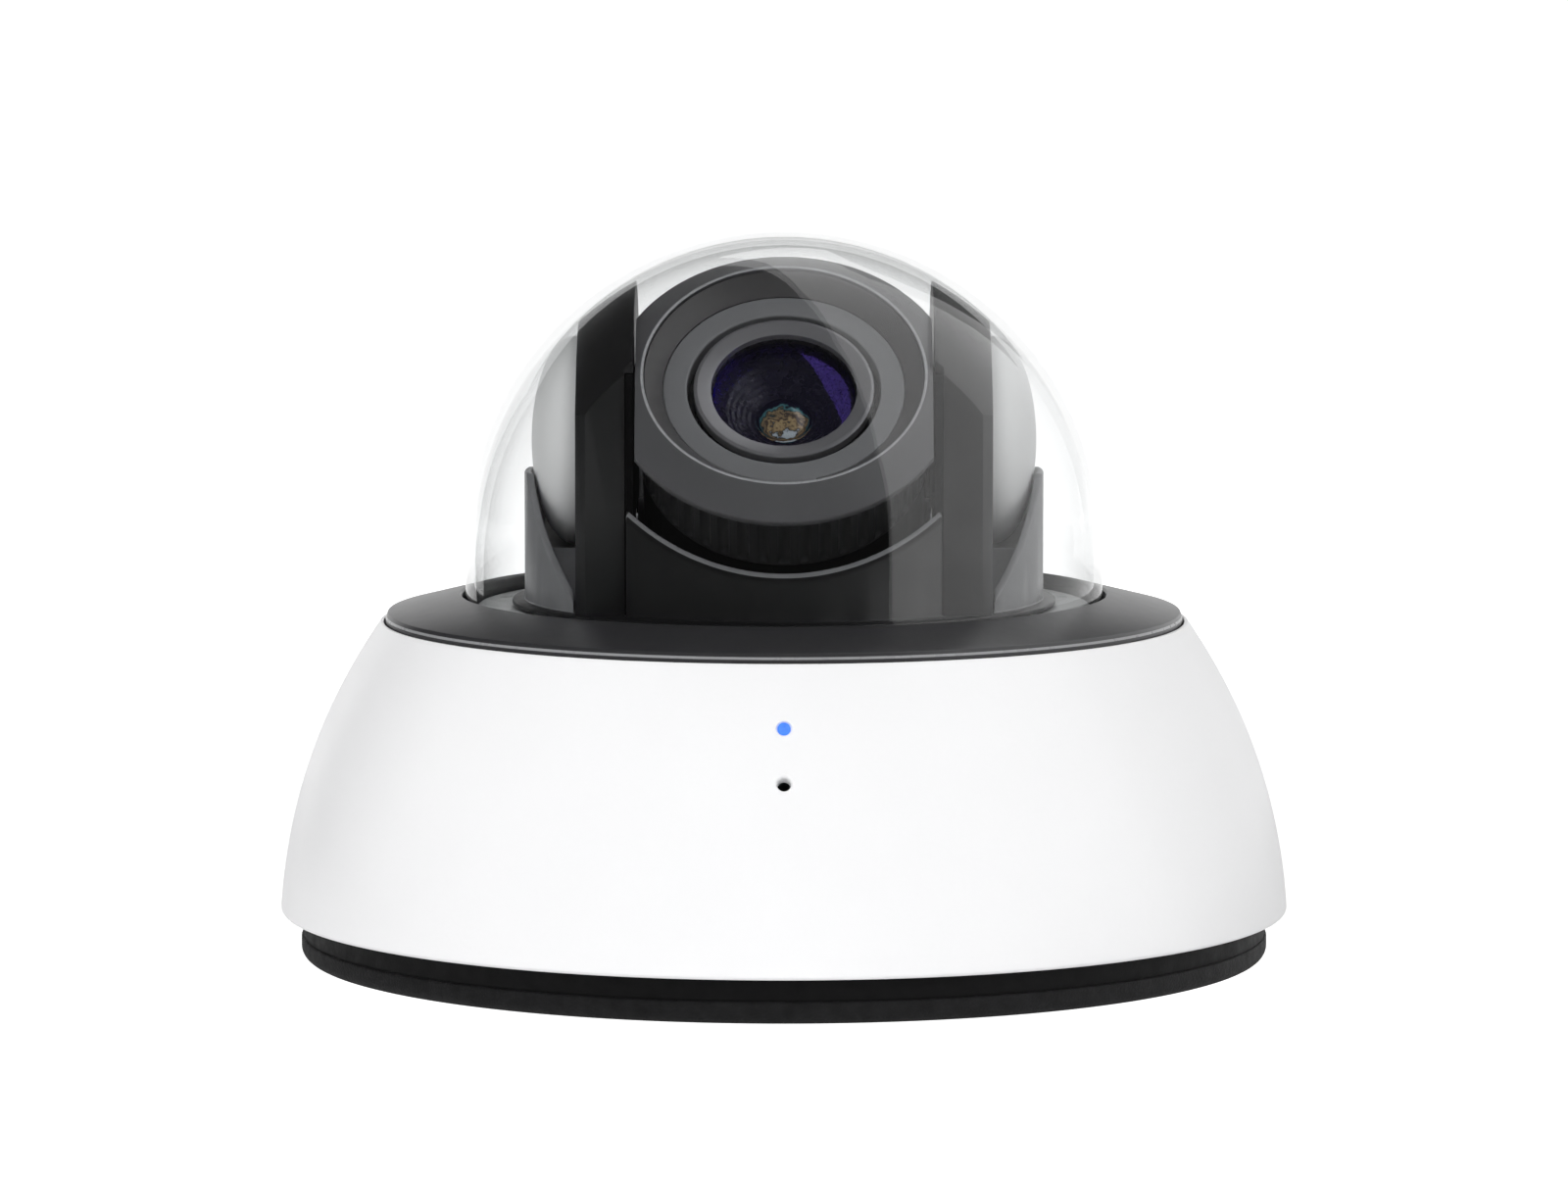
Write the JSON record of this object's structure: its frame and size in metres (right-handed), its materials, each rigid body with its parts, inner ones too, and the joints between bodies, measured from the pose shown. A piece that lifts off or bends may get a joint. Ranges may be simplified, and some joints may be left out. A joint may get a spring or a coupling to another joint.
{
  "type": "dome security camera",
  "caption": "Indoor dome security camera: wide round cover, clear bubble, and a lens module that pans, tilts and rolls on a yoke; base gasket with mounting and cable holes.",
  "frame": {"origin": "centre of the underside of the base gasket", "axes": "+Z out of the mounting surface along the pan axis, -Y the direction the lens faces at rest"},
  "size_m": [0.1401, 0.14, 0.1005],
  "materials": {
    "gasket_rubber": "fine textured moulded rubber",
    "black_plastic": "matt black moulded",
    "white_shell": "fine orange-peel satin",
    "trim_dark": "satin dark grey",
    "clear_dome": "optically clear, glossy",
    "seal_rubber": "matt",
    "frame_black": "satin black moulded",
    "cap_grey": "satin light grey moulded",
    "deck_grey": "die-cast, light grey",
    "shroud_dark": "satin charcoal moulded",
    "ring_grey": "fine matt grey",
    "knurl_black": "matt black grip",
    "barrel_black": "matt black baffle",
    "carrier_metal": "black anodised",
    "coated_glass": "violet anti-reflection coating",
    "rear_glass": "amber coating",
    "ir_glass": "dark infrared window",
    "filter_glass": "cyan cut filter",
    "circuit_green": "solder mask",
    "chip_black": "moulded package",
    "tin_metal": "tinned steel",
    "steel_screw": "zinc plated",
    "brass": "turned",
    "bush_white": "acetal",
    "thermal_grey": "soft thermal pad",
    "harness_black": "wire sleeve",
    "plug_cream": "nylon",
    "button_red": "moulded",
    "light_blue": "lit diffuser",
    "led_clear": "epoxy lens"
  },
  "bodies": {
    "base": {"base_gasket": "gasket_rubber", "base_tray": "black_plastic", "cable_grommet": "seal_rubber", "board_standoffs": "brass", "main_board": "circuit_green", "board_screws": "steel_screw", "ethernet_jack": "tin_metal", "processor": "chip_black", "thermal_pad": "thermal_grey", "memory_slot": "tin_metal", "memory_card": "chip_black", "board_parts": "chip_black", "reset_switch": "chip_black", "harness_plug": "plug_cream", "base_harness": "harness_black", "chassis": "deck_grey", "chassis_screws": "steel_screw", "pan_bush": "bush_white", "front_board": "circuit_green", "status_led": "led_clear", "light_pipe": "light_blue", "microphone": "brass", "mic_boot": "seal_rubber", "outer_cover": "white_shell", "cover_screws": "steel_screw", "trim_ring": "trim_dark", "trim_screws": "steel_screw", "bubble": "clear_dome", "bubble_seal": "seal_rubber", "bubble_retainer": "deck_grey", "retainer_screws": "steel_screw"},
    "reset": {"reset_button": "button_red"},
    "pan": {"pan_frame": "frame_black", "arm_left": "frame_black", "arm_right": "frame_black", "arm_liners": "shroud_dark", "side_cap_left": "cap_grey", "side_cap_right": "cap_grey", "arm_screws": "steel_screw", "tilt_bushes": "bush_white", "pan_lock_nut": "brass", "pan_harness": "harness_black"},
    "tilt": {"tilt_housing": "frame_black", "tilt_pins": "steel_screw", "shroud": "shroud_dark", "shroud_screws": "steel_screw", "ir_window": "ir_glass", "ir_board": "circuit_green", "ir_leds": "led_clear", "face_ring": "ring_grey", "light_seal": "seal_rubber", "tilt_harness": "harness_black"},
    "roll": {"lens_carrier": "carrier_metal", "knurled_ring": "knurl_black", "lens_barrel": "barrel_black", "lens_bezel": "ring_grey", "front_lens": "coated_glass", "rear_lens": "rear_glass", "sensor_board": "circuit_green"},
    "filter": {"filter_slide": "filter_glass"}
  },
  "joints": [
    {"name": "reset_press", "type": "slide", "parent": "base", "child": "reset", "axis": [0, 0, -1], "range_m": [0, 0.0003], "stiffness_N_per_m": 2000},
    {"name": "pan", "type": "hinge", "parent": "base", "child": "pan", "pos_m": [0, 0, 0.057], "axis": [0, 0, 1], "range_deg": [-175, 175]},
    {"name": "tilt", "type": "hinge", "parent": "pan", "child": "tilt", "pos_m": [0, 0, 0.057], "axis": [-1, 0, 0], "range_deg": [-6, 45]},
    {"name": "roll", "type": "hinge", "parent": "tilt", "child": "roll", "pos_m": [0, 0, 0.057], "axis": [0, -0.7071, 0.7071], "range_deg": [-175, 175]},
    {"name": "filter_shift", "type": "slide", "parent": "roll", "child": "filter", "axis": [1, 0, 0], "range_m": [0, 0.0075]}
  ]
}
